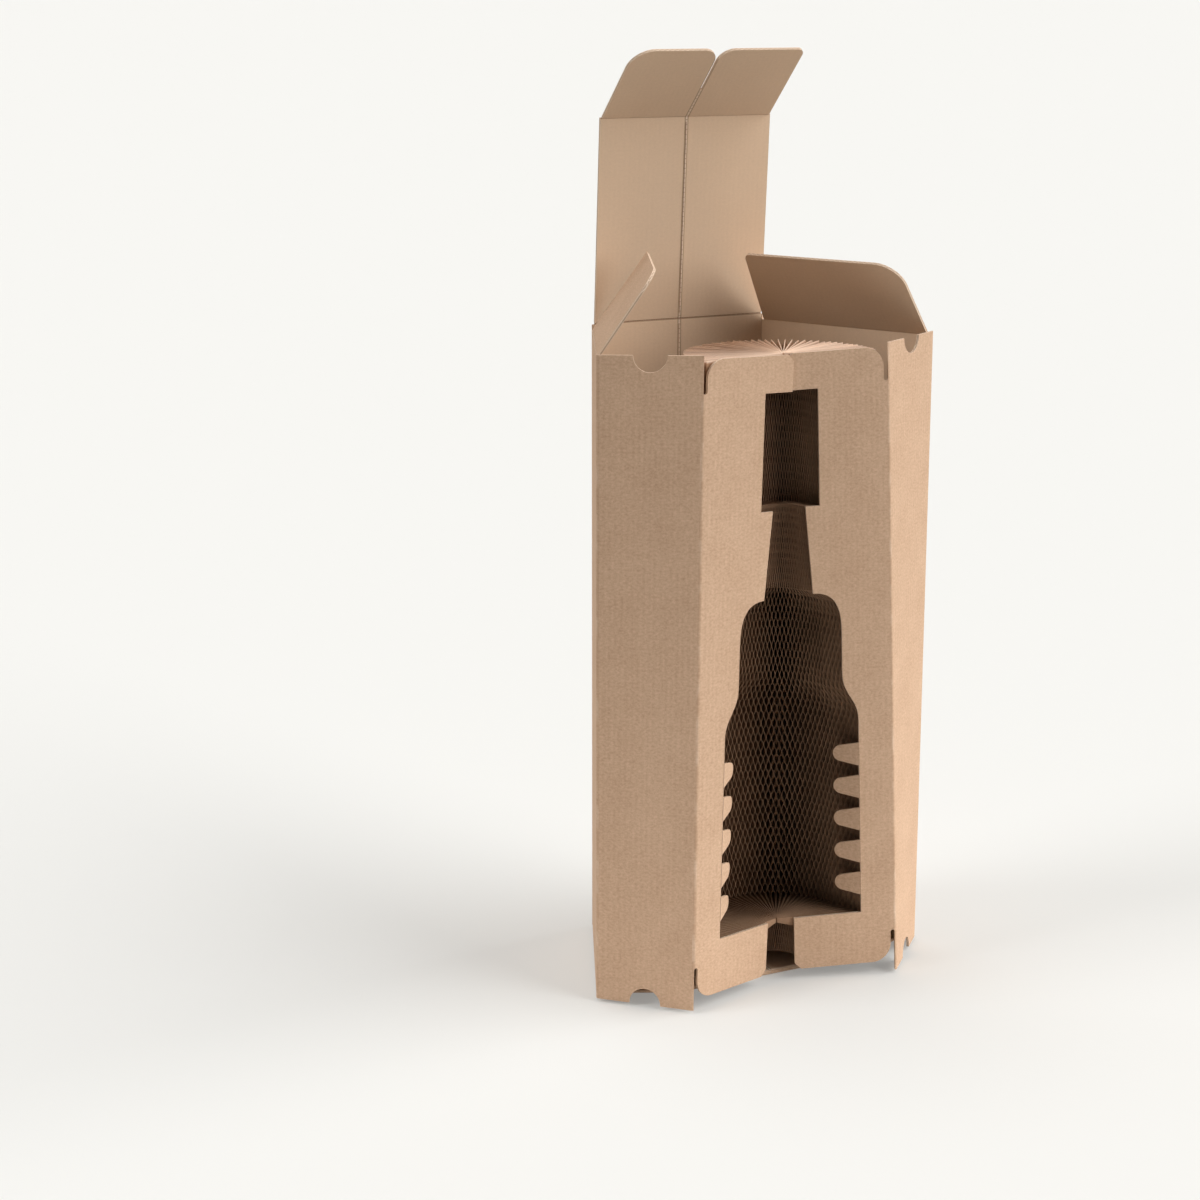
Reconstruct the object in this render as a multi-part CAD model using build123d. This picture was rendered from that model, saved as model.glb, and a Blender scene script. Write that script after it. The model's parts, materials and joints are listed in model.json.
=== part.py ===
from build123d import *
import os
from math import atan2, cos, degrees, radians, sin, sqrt

# A tall carton for one sparkling wine bottle, standing open. One die-cut sheet of fine corrugated
# board makes the back, the sides, the split front, the two flanges that fold in at the front seam,
# and the flaps at the foot. A fan of paper honeycomb is glued behind the flanges and cradles the bottle.
# X runs along the back wall, -Y is the front, +Z is up. The origin is the middle of the foot flap.

# Board and paper
board = 1.6
fold_radius = 1.6
paper = 1.0
glue_gap = 0.2

# Carton, between the middles of the board
height = 400.0
back_width = 122.0
side_depth = 127.0
flange_lap = 4.0

# Angles of the folds as the carton stands, in degrees of plan
side_splay = 25.5
front_turn_top = 30.0
front_turn_foot = 45.5
left_flange_turn_top = 6.0
right_flange_turn_top = 10.5
flange_turn_foot = 18.0

# Steps at the ends of the panels, so that the flaps fold over each other
front_drop = 1.8
dust_drop = 3.6
flange_drop = 6.0
hinge_gap = 0.3

# Slits and corners at the front seam
slit_depth = 25.0
slit_width = 3.2
flange_corner = 12.0
flange_chamfer = 4.0
thumb_radius = 10.0

# Bottle-shaped cut-out: half widths in the flanges
body_half = 43.0
shoulder_half = 33.0
neck_foot_half = 15.0
neck_top_half = 11.0
cork_half = 20.0
nest_clearance = 2.0

# Bottle-shaped cut-out: its floor, and its steps in height from the top of the carton down
nest_floor = 40.0
cork_cover = 28.0
cork_room = 71.0
neck_length = 54.0
neck_flare = 25.0
shoulder_length = 27.0
shoulder_flare = 30.0

# Tongues folded back along the cut-out
tongue_count = 5
tongue_margin = 10.0
tongue_gap = 6.0
tongue_length = 16.0
tongue_turn = 28.0

# Honeycomb fan
seam_room = 6.0
fan_leaves = 25
fan_end_gap = 0.4
spine_shift = 1.5
tongue_room = 13.0

# Flaps
lid_side_gap = 1.0
lid_lean = 3.4
tuck_length = 60.0
tuck_lean = 42.6
tuck_side_gap = 2.0
tuck_web = 25.0
tuck_slit = 1.6
tuck_outer_left = 15.0
tuck_outer_right = 5.0
tuck_inner = 10.0
dust_length = 60.0
dust_back_inset = 2.5
dust_front_inset = 3.0
dust_taper = 10.0
dust_front_radius = 17.0
dust_back_radius = 5.0
left_dust_lean = 34.0
right_dust_lean = 40.0
foot_flap_gap = 0.2

# Beads pressed in along the middle of the back wall and of the lid
crease_radius = 0.5
crease_end = 3.0

# Worked out from the sizes above
half_board = board / 2
flange_width = back_width / 2 + flange_lap
foot_axis = half_board
top_axis = height - half_board
back_y = side_depth / 2
foot_dust_axis = foot_axis + dust_drop
top_dust_axis = top_axis - dust_drop
flap_root = half_board + hinge_gap
flap_half = back_width / 2 - lid_side_gap
tuck_half = back_width / 2 - tuck_side_gap
cork_top = height - cork_cover
neck_top = cork_top - cork_room
neck_foot = neck_top - neck_length
shoulder_top = neck_foot - neck_flare
shoulder_foot = shoulder_top - shoulder_length
body_top = shoulder_foot - shoulder_flare
tongue_pitch = (body_top - nest_floor - 2 * tongue_margin) / tongue_count
tongue_first = nest_floor + tongue_margin + tongue_pitch / 2
tongue_base = tongue_pitch - tongue_gap
tongue_tip_radius = tongue_base / 3
fan_radius = flange_width - seam_room
fan_foot = flange_drop - fan_end_gap
fan_top = height - fan_foot
cutter_reach = 15.0
LEFT, RIGHT = -1, 1


def heading(side, across, forward):
    """Plan direction that has the given part away from the middle and the given part to the front."""
    return Vector(side * across, -forward, 0)


def plan(side, at_top):
    """Middle line of one half of the sheet: middle of the back, two corners, seam and free edge."""
    splay = radians(side_splay)
    front = radians(front_turn_top if at_top else front_turn_foot)
    top_turn = left_flange_turn_top if side == LEFT else right_flange_turn_top
    turn = radians(top_turn if at_top else flange_turn_foot)
    z = top_axis if at_top else foot_axis
    middle = Vector(0, back_y, z)
    back = Vector(side * back_width / 2, back_y, z)
    corner = back + heading(side, sin(splay), cos(splay)) * side_depth
    seam = corner + heading(side, -cos(front), sin(front)) * (back_width / 2)
    edge = seam + heading(side, -cos(turn), -sin(turn)) * flange_width
    return middle, back, corner, seam, edge


def offset_corners(points, distance):
    """The corners of a path moved sideways by a distance, with mitred corners."""
    moved = []
    for i, point in enumerate(points):
        before = (point - points[i - 1]).normalized() if i else None
        after = (points[i + 1] - point).normalized() if i + 1 < len(points) else None
        before, after = before or after, after or before
        normal = Vector(-before.Y - after.Y, before.X + after.X, 0)
        normal = normal * (2 / normal.length ** 2)
        moved.append(point + normal * distance)
    return moved


def half_section(side, at_top):
    """Closed outline of one half of the folded sheet in plan, with round folds."""
    path = plan(side, at_top)
    turns = [(path[i + 1] - path[i]).cross(path[i + 2] - path[i + 1]).Z for i in range(len(path) - 2)]
    sides = []
    for shift in (half_board, -half_board):
        radii = [fold_radius - shift if turn > 0 else fold_radius + shift for turn in turns]
        sides.append(FilletPolyline(*offset_corners(path, shift), radius=radii))
    ends = [Line(sides[0] @ end, sides[1] @ end) for end in (0, 1)]
    return make_face([*sides[0].edges(), *sides[1].edges(), *ends])


def on_flange(side, depth, z):
    """Point of a flange's middle surface, at a depth from its free edge and a height."""
    share = (z - foot_axis) / (top_axis - foot_axis)
    foot, top = plan(side, False), plan(side, True)
    lines = [p[4] + (p[3] - p[4]) * (depth / flange_width) for p in (foot, top)]
    return lines[0] + (lines[1] - lines[0]) * share


def flange_plane(side, depth, z):
    """Plane on a flange: y up along its free edge, x towards the seam, origin on the middle surface."""
    origin = on_flange(side, depth, z)
    across = on_flange(side, depth + 1, z) - origin
    up = on_flange(side, depth, z + 1) - origin
    normal = across.cross(up)
    return Plane(origin, x_dir=up.cross(normal), z_dir=normal)


def through(sketch, plane):
    """A flat shape made into a cutter that passes through the board at a plane."""
    return extrude(plane * sketch, amount=cutter_reach, both=True)


def cut_out(half_body, half_shoulder, half_neck_foot, half_neck_top, half_cork):
    """Half outline of the bottle, from its axis at x = 0, with y the height above the floor."""
    with BuildLine() as outline:
        Polyline((0, nest_floor), (half_body, nest_floor), (half_body, body_top))
        Spline((half_body, body_top), (half_shoulder, shoulder_foot), tangents=((0, 1), (0, 1)))
        Line((half_shoulder, shoulder_foot), (half_shoulder, shoulder_top))
        Spline((half_shoulder, shoulder_top), (half_neck_foot, neck_foot), tangents=((0, 1), (-1, 0)))
        Polyline((half_neck_foot, neck_foot), (half_neck_top, neck_top), (half_cork, neck_top),
                 (half_cork, cork_top), (0, cork_top), (0, nest_floor))
    return make_face(outline.line)


def flange_trim():
    """What the die cuts off a flange's top end and the seam, from the free edge at x = 0."""
    top, beyond = height - flange_drop, height + flange_drop
    slit_out, slit_in = flange_width - half_board / 2, flange_width - slit_width
    slit_foot = height - slit_depth
    with BuildLine() as outline:
        Line((slit_out, beyond), (slit_out, slit_foot))
        RadiusArc((slit_out, slit_foot), (slit_in, slit_foot), (slit_out - slit_in) / 2)
        Line((slit_in, slit_foot), (slit_in, top - flange_corner))
        RadiusArc((slit_in, top - flange_corner), (slit_in - flange_corner, top), -flange_corner)
        Polyline((slit_in - flange_corner, top), (flange_chamfer, top),
                 (-board, top - flange_chamfer - board), (-board, beyond), (slit_out, beyond))
    return make_face(outline.line)


def slab(line_start, line_end, z_low, z_high, ends=0.0):
    """Upright slab around a line in plan, thicker than the board, for trimming a wall's end."""
    along = (line_end - line_start).normalized()
    start, end = line_start - along * ends, line_end + along * ends
    across = Vector(-along.Y, along.X, 0) * (2 * board)
    corners = [start + across, end + across, end - across, start - across]
    face = make_face(Polyline(*[Vector(c.X, c.Y, z_low) for c in corners], close=True))
    return extrude(face, amount=z_high - z_low, dir=(0, 0, 1))


def at_height(point, z):
    """The same place in plan, at a height."""
    return Vector(point.X, point.Y, z)


def along_hinge(section, start, end, up=Vector(0, 0, 1)):
    """A section run along a hinge line. Its x points to the left of the line and its y up."""
    direction = end - start
    plane = Plane(start, x_dir=up.cross(direction), z_dir=direction)
    return extrude(plane * section, amount=direction.length)


def half_disc(radius):
    """Half disc above the x axis, the edge that a flap folds around."""
    return make_face([CenterArc((0, 0), radius, 0, 180), Line((-radius, 0), (radius, 0))])


def round_corner():
    """Fold between a wall, above it, and a flap that lies to its left."""
    return make_face([
        CenterArc((half_board, half_board), board, 180, 90),
        Line((half_board, -half_board), (half_board, half_board)),
        Line((half_board, half_board), (-half_board, half_board)),
    ])


def crease(start, end):
    """Bead pressed into a face between two points on it."""
    return Solid.make_cylinder(crease_radius, (end - start).length, Plane(start, z_dir=end - start))


def flap_plane(hinge_start, hinge_end, z, lean):
    """Plane of a flap: x along its hinge, y away from it, leaning to the left of the hinge by an angle."""
    start = Vector(hinge_start.X, hinge_start.Y, z)
    along = (Vector(hinge_end.X, hinge_end.Y, z) - start).normalized()
    inward = Vector(-along.Y, along.X, 0)
    out = Vector(0, 0, 1) * cos(radians(lean)) + inward * sin(radians(lean))
    return Plane(start, x_dir=along, z_dir=along.cross(out))


def board_flap(sketch, plane):
    """A flap's outline given the board's thickness, half to each side of its plane."""
    return extrude(plane * sketch, amount=half_board, both=True)


def dust_outline(root):
    """Side flap: hinge along x from the back corner, tapered at the back, round at the front."""
    back, front = dust_back_inset, side_depth - dust_front_inset
    flat = make_face(Polyline((back, root), (front, root), (front, dust_length),
                              (back + dust_taper, dust_length), close=True))
    corners = flat.vertices().group_by(Axis.Y)[-1].sort_by(Axis.X)
    flat = fillet(corners[0], dust_back_radius)
    front_corner = flat.vertices().sort_by_distance(Vector(front, dust_length))[0]
    return fillet(front_corner, dust_front_radius)


def dust_hinge(side, at_top):
    """Start and end of a side flap's hinge line, ordered so that the inside lies to its left."""
    _, back, corner, _, _ = plan(side, at_top)
    return (back, corner) if side == LEFT else (corner, back)


def dust_flap(side, at_top, z, lean, root):
    """Side flap in its place. Its sketch starts at the back corner, so one side's is turned over."""
    sketch = dust_outline(root)
    start, end = dust_hinge(side, at_top)
    if side == RIGHT:
        sketch = mirror(sketch, about=Plane.YZ).moved(Location((side_depth, 0, 0)))
    return board_flap(sketch, flap_plane(start, end, z, lean))


def tuck_outline(root):
    """Tuck flap: two halves joined by a web near the hinge, x from the lid's middle."""
    flat = Pos(0, (root + tuck_length) / 2) * Rectangle(2 * tuck_half, tuck_length - root)
    flat -= Pos(0, tuck_web + tuck_length / 2) * Rectangle(tuck_slit, tuck_length)
    tips = flat.vertices().group_by(Axis.Y)[-1].sort_by(Axis.X)
    for tip, radius in zip(tips, (tuck_outer_left, tuck_inner, tuck_inner, tuck_outer_right)):
        corner = flat.vertices().sort_by_distance(tip.center())[0]
        flat = fillet(corner, radius)
    return flat


def side_cuts(side):
    """What is cut from one half of the sheet: its panels' ends, thumb notches and flange window."""
    foot, top = plan(side, False), plan(side, True)
    past = height + 2 * board
    cuts = [
        slab(foot[1], foot[2], -board, foot_dust_axis + half_board, -half_board),
        slab(top[1], top[2], top_dust_axis, past, -half_board),
        slab(foot[2], foot[3], -board, front_drop, 2 * fold_radius),
        slab(top[2], top[3], height - front_drop, past, 2 * fold_radius),
    ]
    for points, z in ((foot, front_drop), (top, height - front_drop)):
        across = Vector(points[2].Y - points[3].Y, points[3].X - points[2].X, 0)
        centre = Plane(at_height((points[2] + points[3]) * 0.5, z), z_dir=across)
        cuts.append(through(Circle(thumb_radius), centre))
    window = cut_out(body_half, shoulder_half, neck_foot_half, neck_top_half, cork_half)
    window += Pos(-board, (nest_floor + cork_top) / 2) * Rectangle(2 * board, cork_top - nest_floor)
    plane = flange_plane(side, 0, height / 2)
    foot_trim = mirror(flange_trim(), about=Plane.XZ).moved(Location((0, height, 0)))
    for shape in (flange_trim(), foot_trim, window):
        cuts.append(through(shape.moved(Location((0, -height / 2, 0))), plane))
    return cuts


def carton_half(side):
    """The sheet from the middle of the back to one flange, with its cut-outs, tongues and hinge edges."""
    rings = [half_section(side, at_top).face().outer_wire() for at_top in (False, True)]
    half = Solid.make_loft(rings, ruled=True)
    for cutter in side_cuts(side):
        half -= cutter
    for i in range(tongue_count):
        half += tongue(side, tongue_first + i * tongue_pitch)
    top_hinge = [at_height(p, top_dust_axis) for p in trimmed(*dust_hinge(side, True))]
    half += along_hinge(half_disc(half_board), *top_hinge)
    foot_hinge = [at_height(p, foot_dust_axis) for p in trimmed(*dust_hinge(side, False))]
    half += along_hinge(round_corner(), *foot_hinge)
    return half + dust_flap(side, False, foot_dust_axis, 90.0, half_board)


def folded_carton():
    """The whole sheet: both halves, the lid's hinge edge, the bead down the back and the foot flap."""
    carton = carton_half(LEFT) + carton_half(RIGHT)
    carton -= Pos(0, back_y, 0) * Box(2 * (flap_half + hinge_gap), 2 * board, 2 * board)
    carton += along_hinge(half_disc(half_board), Vector(flap_half, back_y, top_axis),
                          Vector(-flap_half, back_y, top_axis))
    inner_y = back_y - half_board
    carton += crease(Vector(0, inner_y, board + crease_end), Vector(0, inner_y, top_axis - crease_end))
    return carton + foot_flap()


def trimmed(start, end):
    """A side flap's hinge line, shortened at both ends like the flap."""
    along = (end - start).normalized()
    back_first = start.Y > end.Y
    insets = (dust_back_inset, dust_front_inset) if back_first else (dust_front_inset, dust_back_inset)
    return start + along * insets[0], end - along * insets[1]


def tongue(side, z):
    """One rounded tongue, folded back from the edge of the cut-out."""
    plane = flange_plane(side, body_half, z)
    towards_back = plane.z_dir if plane.z_dir.Y > 0 else -plane.z_dir
    out = -plane.x_dir * cos(radians(tongue_turn)) + towards_back * sin(radians(tongue_turn))
    shape = make_hull([
        *Line((-half_board, -tongue_base / 2), (-half_board, tongue_base / 2)).edges(),
        *(Pos(tongue_length - tongue_tip_radius, 0) * Circle(tongue_tip_radius)).edges(),
    ])
    up = plane.y_dir
    return extrude(Plane(plane.origin, x_dir=out, z_dir=out.cross(up)) * shape, amount=half_board, both=True)


def foot_flap():
    """Flap under the foot, from the back wall, with its tuck folded back on top of it."""
    bend_radius = board + foot_flap_gap / 2
    front, root = bend_radius - back_y, back_y - half_board
    plate = Pos(0, (root + front) / 2, half_board) * Box(2 * flap_half, root - front, board)
    tuck_plane = Plane((0, front, board + foot_flap_gap + half_board))
    tuck = board_flap(tuck_outline(0), tuck_plane)
    bend = along_hinge(half_disc(bend_radius), Vector(-tuck_half, front, bend_radius),
                       Vector(tuck_half, front, bend_radius), Vector(0, -1, 0))
    corner = along_hinge(round_corner(), Vector(flap_half, back_y, foot_axis),
                         Vector(-flap_half, back_y, foot_axis))
    return plate + tuck + bend + corner


def glue_line(side, at_top):
    """Plan line of the leaf glued behind a flange: its start at the free edge, and its direction."""
    _, _, _, seam, edge = plan(side, at_top)
    along = (seam - edge).normalized()
    behind = Vector(-along.Y, along.X, 0) * side
    return edge + behind * (half_board + glue_gap + paper / 2), along


def spine(at_top):
    """Where the leaves of the fan meet, on the glued line of the flange that lies further back."""
    start, along = glue_line(RIGHT, at_top)
    shift = spine_shift if at_top else 0.0
    return start - along * ((start.X + shift) / along.X)


def leaf_angle(side, at_top):
    """Plan direction of the leaf glued to a flange, in degrees: its outer end meets the glue line."""
    start, along = glue_line(side, at_top)
    middle = spine(at_top)
    foot = start + along * along.dot(middle - start)
    end = foot + along * sqrt(fan_radius ** 2 - (foot - middle).length ** 2)
    ray = end - middle
    return degrees(atan2(ray.Y, ray.X))


def fan_section(at_top):
    """Outline of the fan in plan: straight leaves that meet at the spine."""
    start, end = leaf_angle(RIGHT, at_top), leaf_angle(LEFT, at_top) % 360
    step = (end - start) / (fan_leaves - 1)
    centre = spine(at_top)
    valley = paper / 2 / sin(radians(step / 2))
    points = []
    for i in range(fan_leaves):
        angle = radians(start + i * step)
        tip = centre + Vector(cos(angle), sin(angle), 0) * fan_radius
        across = Vector(-sin(angle), cos(angle), 0) * (paper / 2)
        points += [tip - across, tip + across]
        if i < fan_leaves - 1:
            angle += radians(step / 2)
            points.append(centre + Vector(cos(angle), sin(angle), 0) * valley)
    front = radians((start + end) / 2 + 180)
    opening = radians((360 - (end - start)) / 2)
    points.append(centre + Vector(cos(front), sin(front), 0) * (paper / 2 / sin(opening)))
    return Polyline(*points, close=True)


def honeycomb_bands():
    """Paper fan glued to the flanges, with the bottle's shape cut from its leaves, from foot to top.
    It is one piece of paper honeycomb, divided at the steps of its hollow."""
    fan = Solid.make_loft([Wire(fan_section(False).edges()), Wire(fan_section(True).edges())], ruled=True)
    fan &= Pos(0, 0, (fan_foot + fan_top) / 2) * Box(3 * back_width, 3 * side_depth, fan_top - fan_foot)
    foot, top = spine(False), spine(True)
    axis = Plane(foot, x_dir=(1, 0, 0), z_dir=top - foot)
    sizes = (body_half, shoulder_half, neck_foot_half, neck_top_half, cork_half)
    nest = revolve(Plane.XZ * cut_out(*[size + nest_clearance for size in sizes]), Axis.Z)
    fan -= axis.location * nest
    room = Rectangle(2 * (body_half + nest_clearance), body_top - nest_floor)
    for side in (LEFT, RIGHT):
        middle = flange_plane(side, 0, (nest_floor + body_top) / 2)
        fan -= extrude(middle * room, amount=tongue_room, both=True)
    levels = (-height, nest_floor, body_top, shoulder_top, neck_top, cork_top, 2 * height)
    return [
        fan & axis.location * Pos(0, 0, (low + high) / 2) * Box(3 * back_width, 3 * side_depth, high - low)
        for low, high in zip(levels, levels[1:])
    ]


def lid_plane():
    """Plane of the lid at rest, from its middle: x along the hinge and y up the lid."""
    return flap_plane(Vector(0, back_y, 0), Vector(-back_width, back_y, 0), top_axis, lid_lean)


def tuck_plane():
    """Plane of the tuck flap at rest, from the middle of its hinge at the lid's free edge."""
    lid = lid_plane()
    hinge = lid.origin + lid.y_dir * side_depth
    return flap_plane(hinge, hinge + lid.x_dir, hinge.Z, lid_lean + tuck_lean)


def lid_flap():
    """Top flap of the back wall, with a round edge at the tuck's hinge and a bead down its middle."""
    plane = lid_plane()
    sketch = Pos(0, (flap_root + side_depth) / 2) * Rectangle(2 * flap_half, side_depth - flap_root)
    lid = board_flap(sketch, plane)
    hinge = plane.origin + plane.y_dir * side_depth
    ends = [hinge - plane.x_dir * flap_half, hinge + plane.x_dir * flap_half]
    lid += along_hinge(half_disc(half_board), *ends, plane.y_dir)
    inner = plane.z_dir * half_board if plane.z_dir.Y < 0 else plane.z_dir * -half_board
    foot, top = [plane.origin + inner + plane.y_dir * y
                 for y in (flap_root + crease_end, side_depth - crease_end)]
    return lid + crease(foot, top)


def tuck_flap():
    """Tuck flap at the end of the lid, in two halves that share a web."""
    return board_flap(mirror(tuck_outline(flap_root), about=Plane.YZ), tuck_plane())


def save(name, shape):
    """Writes one sub-part."""
    shape.label = name
    export_step(shape, os.path.join("parts", name + ".step"))


os.makedirs("parts", exist_ok=True)
save("folded_carton", folded_carton())
for zone, band in zip(("foot", "body", "shoulder", "neck", "cork", "top"), honeycomb_bands()):
    save("honeycomb_" + zone, band)
save("lid_flap", lid_flap())
save("tuck_flap", tuck_flap())
save("left_dust_flap", dust_flap(LEFT, True, top_dust_axis, left_dust_lean, flap_root))
save("right_dust_flap", dust_flap(RIGHT, True, top_dust_axis, right_dust_lean, flap_root))
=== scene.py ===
"""A corrugated shipping box, standing open, with its paper honeycomb and the nest cut into it."""
import json
import math

import bpy
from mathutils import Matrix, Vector

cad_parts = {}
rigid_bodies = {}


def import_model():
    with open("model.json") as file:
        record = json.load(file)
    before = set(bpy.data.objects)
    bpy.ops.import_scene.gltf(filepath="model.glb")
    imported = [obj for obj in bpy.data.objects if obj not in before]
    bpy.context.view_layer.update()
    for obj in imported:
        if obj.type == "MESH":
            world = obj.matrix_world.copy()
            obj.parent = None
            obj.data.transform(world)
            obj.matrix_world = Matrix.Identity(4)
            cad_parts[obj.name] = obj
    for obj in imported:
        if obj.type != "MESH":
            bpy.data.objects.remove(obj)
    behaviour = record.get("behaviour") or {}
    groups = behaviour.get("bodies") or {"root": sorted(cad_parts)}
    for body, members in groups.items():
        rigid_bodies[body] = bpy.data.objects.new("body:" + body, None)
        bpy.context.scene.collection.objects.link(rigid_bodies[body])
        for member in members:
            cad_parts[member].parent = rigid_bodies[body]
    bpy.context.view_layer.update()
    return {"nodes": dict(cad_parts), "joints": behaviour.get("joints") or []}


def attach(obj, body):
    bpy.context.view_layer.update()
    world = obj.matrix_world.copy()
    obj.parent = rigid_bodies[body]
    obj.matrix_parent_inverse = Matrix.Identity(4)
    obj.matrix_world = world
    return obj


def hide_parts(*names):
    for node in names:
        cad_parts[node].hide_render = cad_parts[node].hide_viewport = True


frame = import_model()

MM = 0.001

# Sizes of the board, its panels and its flutes.
BOARD = 1.6 * MM
HEIGHT = 400 * MM
BACK_HALF = 61 * MM
SIDE = 127 * MM
FRONT = 61 * MM
FLANGE = 65 * MM
FLUTE = 3.4 * MM

# The strip of liner that bridges a moving flap's fold.
HINGE_REACH = 1.3 * MM
HINGE_PAPER = 0.6 * MM

# The side flaps' patterns are laid out this far beside the crease down the middle of the sheet.
BESIDE = 200 * MM

# Middle line of the sheet in plan, in mm, from the middle of the back round to the flange's free end.
LEFT_AT_FOOT = ((0, 63.5), (-61, 63.5), (-115.67, -51.13), (-72.92, -94.64), (-11.1, -74.55))
LEFT_AT_TOP = ((0, 63.5), (-61, 63.5), (-115.67, -51.13), (-62.85, -81.63), (1.8, -74.83))
RIGHT_AT_FOOT = ((0, 63.5), (61, 63.5), (115.67, -51.13), (72.92, -94.64), (11.1, -74.55))
RIGHT_AT_TOP = ((0, 63.5), (61, 63.5), (115.67, -51.13), (62.85, -81.63), (-1.06, -69.78))
PANELS = (BACK_HALF, SIDE, FRONT, FLANGE)

# A face lies flat if its normal has more than LYING up or down. It is a cut edge if its normal has less than
# ALONG_PANEL or ALONG_FLAP along the sheet's own, or if it lies flat within ON_MIDDLE of the sheet's middle.
# Panels that are as near as the nearest, but for SAME_CORNER, meet in one corner.
LYING = 0.9
ALONG_PANEL = 0.64
ALONG_FLAP = 0.7
ON_MIDDLE = 0.9 * MM
SAME_CORNER = 0.6 * MM

# The honeycomb: its spine, the angles of its two end leaves in degrees, and its cells.
SPINE_AT_FOOT = Vector((0, -69.37 * MM))
SPINE_AT_TOP = Vector((-1.5 * MM, -68.18 * MM))
FAN_AT_FOOT = (-17.4, 197.4)
FAN_AT_TOP = (-9.9, 190.7)
LEAVES = 100
LEAF_RADIUS = 59 * MM
LEAF_FOOT = 12 * MM
LEAF_TOP = 394.4 * MM
CELL = 9.6 * MM
ROWS_IN_A_CELL = 5
PAPER = 0.3 * MM

# A leaf's wave is this high before it is held at 1, and then takes this share of the step between leaves.
WAVE_HEIGHT = 1.3
WAVE_SHARE = 0.42

# A leaf's upper end lies up to twice this drop lower, by a wave that turns this far from leaf to leaf.
END_REACH = 1 * MM
END_DROP = 0.35 * MM
END_TURN = 2.4

# The hollow that the honeycomb is cut to, as heights and distances from the spine in mm.
NEST_WALL = (
    (0, 16), (33, 16), (37, 0.6), (40, 0.6), (40.02, 45), (165, 45), (168, 44.8), (175, 42.8),
    (185, 37.2), (195, 35), (222, 35), (230, 34.5), (240, 31.3), (246, 23.8), (248, 16.9),
    (301, 13), (301.02, 22), (372, 22), (372.02, 0.6), (400, 0.6),
)
NEST_FLOOR = 40 * MM
NEST_TOP = 372 * MM

# Behind the flanges the hollow is wider, by these mm at foot and top, and less so for this many degrees.
WINDOW_SHIFT = (11.3, 2.2)
WINDOW_SIDE = 24


def select_only(*objects):
    """Nothing is selected but these, and the first is the active one."""
    for each in bpy.context.scene.objects:
        each.select_set(False)
    for each in objects:
        each.select_set(True)
    bpy.context.view_layer.objects.active = objects[0] if objects else None


def between(low, high, share):
    """The number this share of the way from low to high."""
    return low + (high - low) * share


def held(number, low, high):
    """The number, or the limit that it passes."""
    return min(max(number, low), high)


# The sheet's own coordinates

def panel_lines(height):
    """Each panel at this height: its two ends in plan, and how far round the sheet they lie."""
    share = held((height - BOARD / 2) / (HEIGHT - BOARD), 0, 1)
    lines = []
    for foot, top, sign in ((LEFT_AT_FOOT, LEFT_AT_TOP, -1), (RIGHT_AT_FOOT, RIGHT_AT_TOP, 1)):
        corners = [Vector(a).lerp(Vector(b), share) * MM for a, b in zip(foot, top)]
        round_sheet = 0
        for start, end, width in zip(corners, corners[1:], PANELS):
            lines.append((start, end, sign * round_sheet, sign * (round_sheet + width)))
            round_sheet += width
    return lines


def nearest_panel(place):
    """How far a place is off the sheet's middle, round the sheet and through it, and the normals there."""
    found = []
    for start, end, low, high in panel_lines(place.z):
        along = end - start
        share = held((place.xy - start).dot(along) / along.length_squared, 0, 1)
        off = place.xy - (start + along * share)
        normal = Vector((along.y, -along.x)).normalized()
        found.append((off.length, between(low, high, share), off.dot(normal), normal))
    found.sort(key=lambda each: each[0])
    off_middle, round_sheet, through, _ = found[0]
    normals = [each[3] for each in found if each[0] < off_middle + SAME_CORNER]
    return off_middle, round_sheet, through, normals


def keep_layout(mesh, places, cuts):
    """Keeps each corner's flat place, with 1 for the inner side, and its depth in a cut edge or else -1."""
    mesh.attributes.new("sheet", "FLOAT_VECTOR", "CORNER")
    mesh.attributes.new("cut", "FLOAT", "CORNER")
    mesh.attributes["sheet"].data.foreach_set("vector", [number for place in places for number in place])
    mesh.attributes["cut"].data.foreach_set("value", cuts)


def lay_out_carton(mesh):
    """Finds where each corner of the folded carton lies on its flat sheet, and which faces are cut edges."""
    at_vertex = [nearest_panel(v.co) for v in mesh.vertices]
    places, cuts = [], []
    for face in mesh.polygons:
        off_middle, round_here, _, normals = nearest_panel(face.center)
        lying = abs(face.normal.z) > LYING
        facing = max((face.normal.xy.dot(normal) for normal in normals), key=abs)
        is_cut = off_middle < ON_MIDDLE if lying else abs(facing) < ALONG_PANEL
        inner = 1 if facing * round_here > 0 else 0
        flat = lying and not is_cut
        for vertex in face.vertices:
            place = mesh.vertices[vertex].co
            _, round_sheet, through, _ = at_vertex[vertex]
            places.append((place.x, place.y, 1) if flat else (round_sheet, place.z, inner))
            cuts.append(0.5 + through / BOARD if is_cut else -1)
    keep_layout(mesh, places, cuts)


def flap_frame(mesh):
    """The middle of a flat flap's largest face, and the directions across it, up it and out of it."""
    largest = max(mesh.polygons, key=lambda face: face.area)
    normal = largest.normal.copy()
    up = (Vector((0, 0, 1)) - normal * normal.z).normalized()
    return largest.center.copy(), up.cross(normal), up, normal


def lay_out_flap(mesh, on_axis, beside):
    """The same for a flat flap, as if its fold were at the top of the sheet, and moved sideways."""
    origin, across, up, normal = flap_frame(mesh)
    side = origin.dot(across) + beside
    rise = HEIGHT + (origin - on_axis).dot(up)
    places, cuts = [], []
    for face in mesh.polygons:
        is_cut = abs(face.normal.dot(normal)) < ALONG_FLAP
        inner = 1 if face.normal.z < 0 else 0
        for vertex in face.vertices:
            place = mesh.vertices[vertex].co - origin
            places.append((place.dot(across) + side, place.dot(up) + rise, inner))
            cuts.append(1 + place.dot(normal) / BOARD if is_cut else -1)
    keep_layout(mesh, places, cuts)


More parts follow.
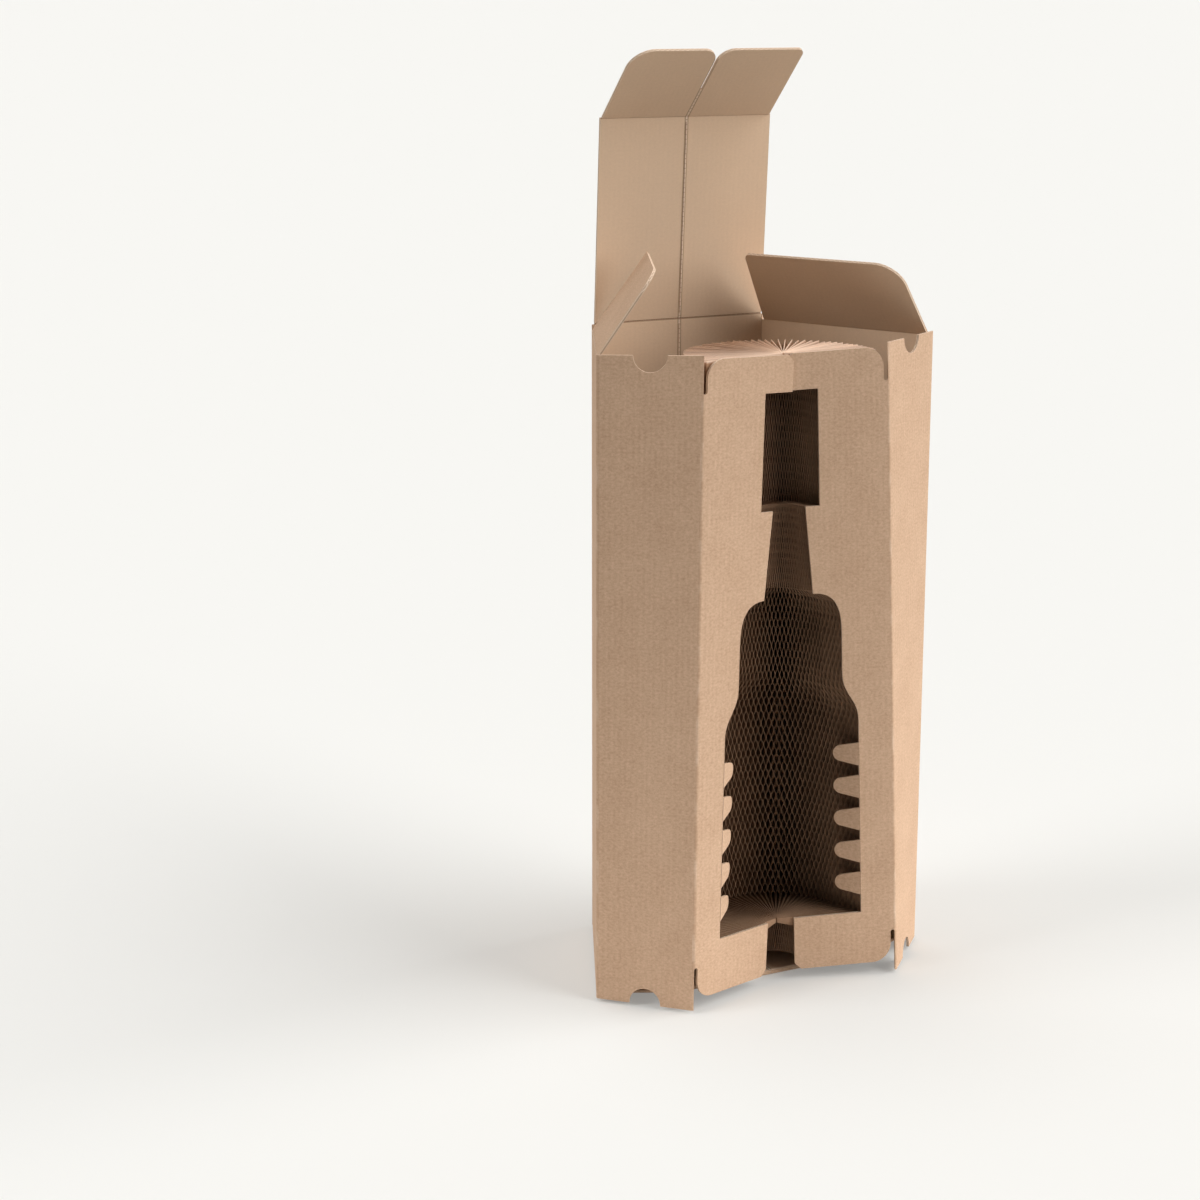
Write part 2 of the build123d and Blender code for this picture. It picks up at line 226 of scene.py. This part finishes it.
def paper_hinge(piece, joint):
    """The strip of liner that bends at a flap's fold, from the fold's axis to the flap's root."""
    axis, on_axis = Vector(joint["axis"]).normalized(), Vector(joint["pos_m"])
    origin, _, _, normal = flap_frame(piece.data)
    out = axis.cross(normal)
    if out.dot(origin - on_axis) < 0:
        out = -out
    root = [v.co - on_axis for v in piece.data.vertices if (v.co - on_axis).dot(out) < HINGE_REACH]
    start, end = (pick(place.dot(axis) for place in root) for pick in (min, max))
    select_only()
    bpy.ops.mesh.primitive_cube_add(size=1)
    strip = bpy.context.object
    middle = on_axis + axis * (start + end) / 2 + out * HINGE_REACH / 2
    length = end - start
    for v in strip.data.vertices:
        x, y, z = v.co
        v.co = middle + axis * x * length + out * y * HINGE_REACH + normal * z * HINGE_PAPER
    select_only(strip)
    bpy.ops.object.mode_set(mode="EDIT")
    bpy.ops.mesh.select_all(action="SELECT")
    bpy.ops.mesh.normals_make_consistent(inside=False)
    bpy.ops.object.mode_set(mode="OBJECT")
    select_only(piece, strip)
    bpy.ops.object.join()


# Materials

def new_material(name):
    """A material with its node tree and a surface shader that is wired to the output."""
    made = bpy.data.materials.new(name)
    made.use_nodes = True
    tree = made.node_tree
    tree.nodes.clear()
    output = tree.nodes.new("ShaderNodeOutputMaterial")
    shader = tree.nodes.new("ShaderNodeBsdfPrincipled")
    tree.links.new(shader.outputs["BSDF"], output.inputs["Surface"])
    return made, tree, shader


def wire(tree, source, target):
    """Joins a socket, or sets a plain value on it."""
    if isinstance(source, bpy.types.NodeSocket):
        tree.links.new(source, target)
    else:
        target.default_value = source


def reckon(tree, how, first, second=0.0, third=0.0):
    """One step of arithmetic on sockets or numbers."""
    node = tree.nodes.new("ShaderNodeMath")
    node.operation = how
    for value, target in zip((first, second, third), node.inputs):
        wire(tree, value, target)
    return node.outputs[0]


def weighted(tree, patterns, weights):
    """The sum of the patterns that have a weight, each times that weight."""
    total = 0.0
    for name, weight in weights.items():
        total = reckon(tree, "MULTIPLY_ADD", patterns[name], weight, total)
    return total


def line_at(tree, value, place, half_width):
    """1 where the value is within half a width of the place, and 0 elsewhere."""
    return reckon(tree, "COMPARE", value, place, half_width)


def mottle(tree, place, scale, detail=2.0, rough=0.5):
    """Soft random tone, about 0 to 1."""
    node = tree.nodes.new("ShaderNodeTexNoise")
    node.inputs["Scale"].default_value = scale
    node.inputs["Detail"].default_value = detail
    node.inputs["Roughness"].default_value = rough
    wire(tree, place, node.inputs["Vector"])
    return node.outputs["Fac"]


def stretched(tree, place, scale):
    """The place with its three directions scaled, for a pattern that is longer one way."""
    node = tree.nodes.new("ShaderNodeMapping")
    node.inputs["Scale"].default_value = scale
    wire(tree, place, node.inputs["Vector"])
    return node.outputs["Vector"]


def spread(tree, value, low, high, to_low=0.0, to_high=1.0):
    """The value with low to high spread over another range, and held in it."""
    node = tree.nodes.new("ShaderNodeMapRange")
    node.clamp = True
    for number, socket in zip((low, high, to_low, to_high), node.inputs[1:5]):
        socket.default_value = number
    wire(tree, value, node.inputs["Value"])
    return node.outputs["Result"]


def tinted(tree, share, first, second):
    """The first colour with this share of the second."""
    node = tree.nodes.new("ShaderNodeMix")
    node.data_type = "RGBA"
    wire(tree, share, node.inputs["Factor"])
    for name, colour in (("A", first), ("B", second)):
        target = next(s for s in node.inputs if s.name == name and s.type == "RGBA")
        wire(tree, colour if isinstance(colour, bpy.types.NodeSocket) else (*colour, 1), target)
    return next(s for s in node.outputs if s.type == "RGBA")


def attribute(tree, name, socket):
    """A socket that reads one of the mesh's own attributes."""
    node = tree.nodes.new("ShaderNodeAttribute")
    node.attribute_name = name
    return node.outputs[socket]


def add_relief(tree, shader, height, strength, depth):
    """Raises the height pattern on the surface, at this depth in metres."""
    bump = tree.nodes.new("ShaderNodeBump")
    bump.inputs["Strength"].default_value = strength
    bump.inputs["Distance"].default_value = depth
    wire(tree, height, bump.inputs["Height"])
    wire(tree, bump.outputs["Normal"], shader.inputs["Normal"])


# Colours of the board and of the honeycomb's paper.
KRAFT = (0.560, 0.364, 0.234)
# The darker board tone, also used as painted shade in the fold grooves.
KRAFT_DARK = (0.415, 0.250, 0.150)
KRAFT_PALE = (0.690, 0.478, 0.326)
INNER_LINER = (0.790, 0.580, 0.400)
CUT_PALE = (0.80, 0.63, 0.48)
# Painted shade in the hollows between the flutes at a cut edge.
CUT_HOLLOW_SHADE = (0.34, 0.205, 0.120)
# Painted shade in the middle's trough and along the flaps' fold.
CREASE_SHADE = (0.27, 0.155, 0.088)
PAPER_DARK = (0.22, 0.125, 0.070)
PAPER_PALE = (0.36, 0.218, 0.132)
# Painted light: the leaves' upper ends paler where the light falls on them.
PAPER_PAINTED_LIT = (0.46, 0.26, 0.150)
PAPER_TIPS_PAINTED_LIGHT = (0.90, 0.68, 0.52)
GLUE = (0.20, 0.11, 0.06)

# The board's patterns: how the sheet is stretched for each, then its scale, detail and roughness.
PATTERNS = {
    "wobble": ((60, 12, 1), 1.0, 2.0, 0.5),
    "streaks": ((900, 28, 1), 1.0, 3.0, 0.5),
    "cloud": ((1, 1, 1), 38.0, 3.0, 0.5),
    "blotch": ((1, 1, 1), 230.0, 4.0, 0.6),
    "fibre": ((1500, 900, 1), 1.0, 3.0, 0.7),
    "grain": ((520, 760, 1), 1.0, 2.0, 0.55),
    "fleck": ((1, 1, 1), 900.0, 2.0, 0.6),
    "rubbed": ((300, 60, 1), 1.0, 3.0, 0.5),
}

# How much each pattern adds to the board's tone and to its relief.
TONE = {"streaks": 0.14, "flute": 0.05, "cloud": 0.30, "blotch": 0.36, "fibre": 0.55, "grain": 0.75}
RELIEF = {"fibre": 0.6, "flute": 0.22, "blotch": 0.5, "trough": -0.8, "folds": -0.6}

# Half widths of the lines on the board, and the step of the dotted crease with the share that is bare.
FOLD_LINE = 0.9 * MM
TROUGH = 1.35 * MM
TROUGH_RIDGE = 0.6 * MM
DOT_STEP = 3.0 * MM
DOT_GAP = 0.14

# A cut edge, in shares of the board: the rise of the flutes' wave, half its paper, and the reach of the
# hollows, which are painted shade.
FLUTE_WAVE = 0.33
FLUTE_PAPER = 0.15
HOLLOW_REACH = 0.36

# How fully these colours cover the one below. The trough's, the bend's and the hollows' colours are painted
# shade.
PLAIN_COVER = 0.25
INNER_COVER = 0.7
TROUGH_SHADE_COVER = 0.62
DOT_COVER = 0.9
BEND_SHADE_COVER = 0.75
HOLLOW_SHADE_COVER = 0.65
GLUE_COVER = 0.18


def fold_lines(tree, across, folds):
    """1 on the lines where the sheet is folded, at these distances from its middle."""
    lines = 0.0
    for place in folds:
        lines = reckon(tree, "MAXIMUM", lines, line_at(tree, across, place, FOLD_LINE))
    return lines


def pressed_folds(tree, paper, patterns, across, along):
    """The paper with painted shade in its fold grooves, rubbed pale in places, painted shade in the middle's
    trough and along the flaps' fold, and the middle's dotted crease.
    """
    folds, rubbed = patterns["folds"], patterns["rubbed"]
    # Painted shade in the fold grooves, less where rubbed.
    groove_shade = reckon(tree, "MULTIPLY", folds, spread(tree, rubbed, 0.35, 0.7, 0.35, 0.0))
    pale = reckon(tree, "MULTIPLY", folds, spread(tree, rubbed, 0.5, 0.8, 0.0, 0.5))
    # Painted shade in the middle's trough.
    trough = reckon(tree, "MULTIPLY", patterns["trough"], TROUGH_SHADE_COVER)
    steps = reckon(tree, "FRACT", reckon(tree, "DIVIDE", along, DOT_STEP))
    dots = reckon(tree, "GREATER_THAN", steps, DOT_GAP)
    dots = reckon(tree, "MULTIPLY", line_at(tree, across, 0.0, TROUGH_RIDGE), dots)
    dots = reckon(tree, "MULTIPLY", dots, DOT_COVER)
    # Painted shade along the flap's fold at the top of the sheet.
    bend_shade = reckon(tree, "MULTIPLY", line_at(tree, along, HEIGHT, FOLD_LINE), BEND_SHADE_COVER)
    colours = ((groove_shade, KRAFT_DARK), (pale, CUT_PALE), (trough, CREASE_SHADE), (dots, CUT_PALE), (bend_shade, CREASE_SHADE))
    for share, colour in colours:
        paper = tinted(tree, share, paper, colour)
    return paper


def cut_edge(tree, cut, sideways, fibre):
    """Two pale liners with the wave of the flutes between them, and painted shade in the hollows beside the
    wave.
    """
    turn = reckon(tree, "SINE", reckon(tree, "MULTIPLY", sideways, 2 * math.pi / FLUTE))
    wave = reckon(tree, "MULTIPLY_ADD", turn, FLUTE_WAVE, 0.5)
    off_wave = reckon(tree, "ABSOLUTE", reckon(tree, "SUBTRACT", cut, wave))
    off_middle = reckon(tree, "ABSOLUTE", reckon(tree, "SUBTRACT", cut, 0.5))
    beside_wave = reckon(tree, "GREATER_THAN", off_wave, FLUTE_PAPER)
    inside = reckon(tree, "LESS_THAN", off_middle, HOLLOW_REACH)
    # Painted shade in the hollows beside the flutes' wave.
    hollow_shade = reckon(tree, "MULTIPLY", beside_wave, inside)
    edge = tinted(tree, reckon(tree, "MULTIPLY", hollow_shade, HOLLOW_SHADE_COVER), CUT_PALE, CUT_HOLLOW_SHADE)
    return tinted(tree, spread(tree, fibre, 0.3, 0.8, 0.0, 0.35), edge, KRAFT)


def kraft_board(name, fold_places=()):
    """Brown corrugated board: fibres, flute lines, pressed folds with painted shade in their grooves and
    creases, and pale cut edges with painted shade in the flutes' hollows.
    """
    made, tree, shader = new_material(name)
    sheet = attribute(tree, "sheet", "Vector")
    cut = attribute(tree, "cut", "Fac")
    split = tree.nodes.new("ShaderNodeSeparateXYZ")
    wire(tree, sheet, split.inputs[0])
    sideways, along, inner = split.outputs
    across = reckon(tree, "ABSOLUTE", sideways)

    # Fibres, streaks, flecks and cloudy patches of the paper.
    patterns = {}
    for each, (stretch, *values) in PATTERNS.items():
        patterns[each] = mottle(tree, stretched(tree, sheet, stretch), *values)

    # Flutes: the liner shows each ridge as a faint line that wobbles a little.
    ridge = reckon(tree, "MULTIPLY", patterns["wobble"], 2.2)
    ridge = reckon(tree, "MULTIPLY_ADD", sideways, 2 * math.pi / FLUTE, ridge)
    patterns["flute"] = reckon(tree, "MULTIPLY_ADD", reckon(tree, "SINE", ridge), 0.5, 0.5)
    patterns["folds"] = fold_lines(tree, across, fold_places)
    patterns["trough"] = line_at(tree, across, 0.0, TROUGH)

    # Colour: the paper's tone, its flecks and its paler inner side, then the folds with their painted shade
    # and the cut edges with their painted shade in the hollows.
    tone = spread(tree, weighted(tree, patterns, TONE), 0.72, 1.30)
    paper = tinted(tree, tone, KRAFT_DARK, KRAFT_PALE)
    paper = tinted(tree, spread(tree, patterns["fleck"], 0.66, 0.74, 0.0, 0.5), paper, KRAFT_DARK)
    paper = tinted(tree, PLAIN_COVER, paper, KRAFT)
    paper = tinted(tree, reckon(tree, "MULTIPLY", inner, INNER_COVER), paper, INNER_LINER)
    paper = pressed_folds(tree, paper, patterns, across, along)
    is_cut = reckon(tree, "GREATER_THAN", cut, -0.5)
    paper = tinted(tree, is_cut, paper, cut_edge(tree, cut, sideways, patterns["fibre"]))
    wire(tree, paper, shader.inputs["Base Color"])

    add_relief(tree, shader, weighted(tree, patterns, RELIEF), 0.35, 0.12 * MM)
    wire(tree, spread(tree, patterns["blotch"], 0.3, 0.7, 0.74, 0.9), shader.inputs["Roughness"])
    shader.inputs["Specular IOR Level"].default_value = 0.3
    return made


def honeycomb_paper():
    """Thin, warm brown honeycomb paper with glue lines and fibres, and painted light that makes the leaves'
    upper ends paler.
    """
    made, tree, shader = new_material("honeycomb_paper")
    place = tree.nodes.new("ShaderNodeTexCoord").outputs["Object"]
    split = tree.nodes.new("ShaderNodeSeparateXYZ")
    wire(tree, place, split.inputs[0])
    height = split.outputs["Z"]
    cloud = mottle(tree, place, 45, 3.0)
    fibre = mottle(tree, place, 1100, 3.0, 0.7)
    tone = reckon(tree, "MULTIPLY_ADD", cloud, 0.6, reckon(tree, "MULTIPLY", fibre, 0.6))
    paper = tinted(tree, spread(tree, tone, 0.35, 0.85), PAPER_DARK, PAPER_PALE)
    half_cells = reckon(tree, "FRACT", reckon(tree, "DIVIDE", height, CELL / 2))
    glue = line_at(tree, half_cells, 0.5, 0.16)
    paper = tinted(tree, reckon(tree, "MULTIPLY", glue, GLUE_COVER), paper, GLUE)
    # Painted light: paler towards the leaves' upper ends where the light falls.
    paper = tinted(tree, spread(tree, height, LEAF_TOP - 12 * MM, LEAF_TOP - 2 * MM), paper, PAPER_PAINTED_LIT)
    paper = tinted(tree, spread(tree, height, LEAF_TOP - 1.6 * MM, LEAF_TOP - 0.3 * MM), paper, PAPER_TIPS_PAINTED_LIGHT)
    wire(tree, paper, shader.inputs["Base Color"])
    add_relief(tree, shader, fibre, 0.3, 0.1 * MM)
    wire(tree, spread(tree, fibre, 0.2, 0.8, 0.78, 0.92), shader.inputs["Roughness"])
    shader.inputs["Specular IOR Level"].default_value = 0.25
    return made


# Board pieces

def take_material(piece, material):
    """Gives a piece this one material."""
    piece.data.materials.clear()
    piece.data.materials.append(material)


def board_piece(name, node, body, material, fold=None, beside=0):
    """A copy of the CAD node's sheet, merged, laid out and finished, which takes the node's place."""
    source = frame["nodes"][node]
    piece = bpy.data.objects.new(name, source.data.copy())
    bpy.context.scene.collection.objects.link(piece)
    select_only(piece)
    bpy.ops.object.mode_set(mode="EDIT")
    bpy.ops.mesh.select_all(action="SELECT")
    bpy.ops.mesh.remove_doubles(threshold=0.01 * MM)
    bpy.ops.object.mode_set(mode="OBJECT")
    bpy.ops.mesh.customdata_custom_splitnormals_clear()
    if fold:
        joint = next(each for each in frame["joints"] if each["name"] == fold)
        paper_hinge(piece, joint)
        lay_out_flap(piece.data, Vector(joint["pos_m"]), beside)
    else:
        lay_out_carton(piece.data)
    bpy.ops.object.shade_smooth_by_angle(angle=math.radians(10))
    take_material(piece, material)
    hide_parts(node)
    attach(piece, body)


# Honeycomb

def nest_radius(height):
    """How far from the spine a leaf begins at this height."""
    for (low, wide), (high, next_wide) in zip(NEST_WALL, NEST_WALL[1:]):
        if height / MM <= high:
            return between(wide, next_wide, (height / MM - low) / (high - low)) * MM
    return NEST_WALL[-1][1] * MM


def leaf_heights():
    """The rows of a leaf: evenly up the cells, and at each turn of the hollow's outline."""
    count = round((LEAF_TOP - LEAF_FOOT) / CELL * ROWS_IN_A_CELL)
    even = [between(LEAF_FOOT, LEAF_TOP, k / count) for k in range(count + 1)]
    steps = [height * MM for height, _ in NEST_WALL if LEAF_FOOT < height * MM < LEAF_TOP]
    return sorted(even + steps)


def window_shift(height, off_flange):
    """How much further out a leaf begins, at so many degrees from the flange that it lies behind."""
    if not NEST_FLOOR < height < NEST_TOP:
        return 0
    wider = between(*WINDOW_SHIFT, height / HEIGHT)
    return wider * MM * max(0, 1 - off_flange / WINDOW_SIDE)


def cut_leaf():
    """One flat leaf that stands on the X axis, with its inner edge cut to the nest's outline."""
    heights = leaf_heights()
    select_only()
    bpy.ops.mesh.primitive_grid_add(x_subdivisions=1, y_subdivisions=len(heights) - 1, size=1)
    leaf = bpy.context.object
    rows = sorted({round(v.co.y, 6) for v in leaf.data.vertices})
    for v in leaf.data.vertices:
        height = heights[rows.index(round(v.co.y, 6))]
        radius = LEAF_RADIUS if v.co.x > 0 else nest_radius(height)
        v.co = (radius, 0, height)
    return leaf


def open_leaf(flat, index):
    """A copy of the leaf at its place in the fan, pulled into cells by its neighbours."""
    leaf = bpy.data.objects.new("leaf", flat.data.copy())
    bpy.context.scene.collection.objects.link(leaf)
    share = index / (LEAVES - 1)
    pull = 0 if index in (0, LEAVES - 1) else (-1) ** index
    for v in leaf.data.vertices:
        up = (v.co.z - LEAF_FOOT) / (LEAF_TOP - LEAF_FOOT)
        start = between(FAN_AT_FOOT[0], FAN_AT_TOP[0], up)
        end = between(FAN_AT_FOOT[1], FAN_AT_TOP[1], up)
        step = (end - start) / (LEAVES - 1)
        wave = held(WAVE_HEIGHT * math.sin(2 * math.pi * (v.co.z - LEAF_FOOT) / CELL), -1, 1)
        angle = math.radians(between(start, end, share) + pull * step * WAVE_SHARE * wave)
        spine = SPINE_AT_FOOT.lerp(SPINE_AT_TOP, up)
        radius = v.co.x
        if radius < LEAF_RADIUS:
            radius += window_shift(v.co.z, min(share, 1 - share) * (end - start))
        v.co.x = spine.x + radius * math.cos(angle)
        v.co.y = spine.y + radius * math.sin(angle)
        if v.co.z > LEAF_TOP - END_REACH:
            v.co.z -= END_DROP * (1 + math.sin(index * END_TURN))
    return leaf


def honeycomb(material):
    """The whole fan as one piece of thin paper, in place of its CAD nodes."""
    flat = cut_leaf()
    leaves = [open_leaf(flat, index) for index in range(LEAVES)]
    bpy.data.objects.remove(flat)
    select_only(*leaves)
    bpy.ops.object.join()
    piece = bpy.context.object
    piece.name = "honeycomb_leaves"
    paper = piece.modifiers.new("paper", "SOLIDIFY")
    paper.thickness = PAPER
    paper.offset = 0
    bpy.ops.object.modifier_apply(modifier="paper")
    bpy.ops.object.shade_smooth_by_angle(angle=math.radians(40))
    take_material(piece, material)
    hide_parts(*[node for node in frame["nodes"] if node.startswith("honeycomb")])
    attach(piece, "carton")


# Stage, lamps and camera

# The floor as the camera sees it: its colour, the share that takes light and shadow, and its own glow.
PALE = (0.939, 0.930, 0.896)
FLOOR_SHARE = 0.645
FLOOR_GLOW = 0.26

# The floor as bounced light meets it: pale by the box and dark further off, fading between these metres.
FLOOR_NEAR = (0.88, 0.86, 0.83)
FLOOR_FAR = (0.12, 0.12, 0.11)
FADE_FROM = 0.30
FADE_TO = 1.10
FLOOR_SPAN = 4000
FLOOR_DROP = 0.4 * MM

# The light of the room all round.
ROOM_LIGHT = (0.12, 0.12, 0.12)

# Lamps: azimuth and elevation in degrees, strength, and how many degrees wide the lamp is.
LAMPS = {
    "right_lamp": (57, 25, 4.05, 76),
    "top_lamp": (-165, 72, 0.85, 36),
    "left_lamp": (-98, 32, 1.25, 30),
}

# The camera's place in metres, its turn and dip in degrees, and its lens and film in mm.
CAMERA_PLACE = (-0.760, -1.330, 0.602)
CAMERA_TURN = -26.8
CAMERA_DIP = 13.7
CAMERA_LENS = 75
CAMERA_FILM = 36


def where_seen(tree):
    """1 for what is looked at, straight or through a gloss or glass, and 0 for bounced light."""
    light = tree.nodes.new("ShaderNodeLightPath")
    seen = reckon(tree, "MAXIMUM", light.outputs["Is Camera Ray"], light.outputs["Is Glossy Ray"])
    return reckon(tree, "MAXIMUM", seen, light.outputs["Is Transmission Ray"])


def floor_paint():
    """Pale where it is looked at. For bounced light it darkens away from the box."""
    made = bpy.data.materials.new("pale_floor")
    made.use_nodes = True
    tree = made.node_tree
    tree.nodes.clear()
    output = tree.nodes.new("ShaderNodeOutputMaterial")
    matt = tree.nodes.new("ShaderNodeBsdfDiffuse")
    far = tree.nodes.new("ShaderNodeVectorMath")
    far.operation = "LENGTH"
    wire(tree, tree.nodes.new("ShaderNodeTexCoord").outputs["Object"], far.inputs[0])
    fade = spread(tree, far.outputs["Value"], FADE_FROM, FADE_TO)
    wire(tree, tinted(tree, fade, FLOOR_NEAR, FLOOR_FAR), matt.inputs["Color"])
    shown = tree.nodes.new("ShaderNodeBsdfDiffuse")
    shown.inputs["Color"].default_value = (*[FLOOR_SHARE * part for part in PALE], 1)
    glow = tree.nodes.new("ShaderNodeEmission")
    glow.inputs["Color"].default_value = (*PALE, 1)
    glow.inputs["Strength"].default_value = FLOOR_GLOW
    both = tree.nodes.new("ShaderNodeAddShader")
    mixed = tree.nodes.new("ShaderNodeMixShader")
    wire(tree, shown.outputs[0], both.inputs[0])
    wire(tree, glow.outputs[0], both.inputs[1])
    wire(tree, where_seen(tree), mixed.inputs[0])
    wire(tree, matt.outputs[0], mixed.inputs[1])
    wire(tree, both.outputs[0], mixed.inputs[2])
    wire(tree, mixed.outputs[0], output.inputs["Surface"])
    return made


def pale_floor():
    """A wide floor just under the box."""
    select_only()
    bpy.ops.mesh.primitive_plane_add(size=FLOOR_SPAN, location=(0, 0, 0))
    floor = bpy.context.object
    floor.name = "floor"
    for v in floor.data.vertices:
        v.co.z = -FLOOR_DROP
    floor.data.materials.append(floor_paint())


def pale_room():
    """An even surround that looks pale and sheds little light."""
    world = bpy.data.worlds.new("pale_room")
    bpy.context.scene.world = world
    world.use_nodes = True
    tree = world.node_tree
    tree.nodes.clear()
    output = tree.nodes.new("ShaderNodeOutputWorld")
    background = tree.nodes.new("ShaderNodeBackground")
    wire(tree, tinted(tree, where_seen(tree), ROOM_LIGHT, PALE), background.inputs["Color"])
    background.inputs["Strength"].default_value = 1.0
    wire(tree, background.outputs[0], output.inputs["Surface"])


def soft_sun(name, azimuth, elevation, strength, width):
    """A broad, even lamp. Azimuth 0 shines on the front and 90 on the right side."""
    lamp = bpy.data.lights.new(name, "SUN")
    lamp.energy = strength
    lamp.angle = math.radians(width)
    made = bpy.data.objects.new(name, lamp)
    bpy.context.scene.collection.objects.link(made)
    made.rotation_euler = (math.radians(90 - elevation), 0, math.radians(azimuth))


def camera():
    """Looks a little down on the box, from the left of its front."""
    view = bpy.data.cameras.new("camera")
    made = bpy.data.objects.new("camera", view)
    bpy.context.scene.collection.objects.link(made)
    view.lens = CAMERA_LENS
    view.sensor_width = CAMERA_FILM
    view.clip_end = FLOOR_SPAN
    made.location = CAMERA_PLACE
    made.rotation_euler = (math.radians(90 - CAMERA_DIP), 0, math.radians(CAMERA_TURN))
    bpy.context.scene.camera = made


bpy.context.scene.view_settings.view_transform = "Standard"
camera()
pale_floor()
pale_room()
for lamp_name, lamp_values in LAMPS.items():
    soft_sun(lamp_name, *lamp_values)

folded_board = kraft_board(
    "kraft_board_folded", (BACK_HALF, BACK_HALF + SIDE, BACK_HALF + SIDE + FRONT),
)
flap_board = kraft_board("kraft_board_flap")
board_piece("carton_board", "folded_carton", "carton", folded_board)
board_piece("lid_board", "lid_flap", "lid", flap_board, "lid_hinge")
board_piece("tuck_board", "tuck_flap", "tuck", flap_board, "tuck_hinge")
board_piece("left_dust_board", "left_dust_flap", "left_dust", flap_board, "left_dust_hinge", -BESIDE)
board_piece("right_dust_board", "right_dust_flap", "right_dust", flap_board, "right_dust_hinge", BESIDE)
honeycomb(honeycomb_paper())
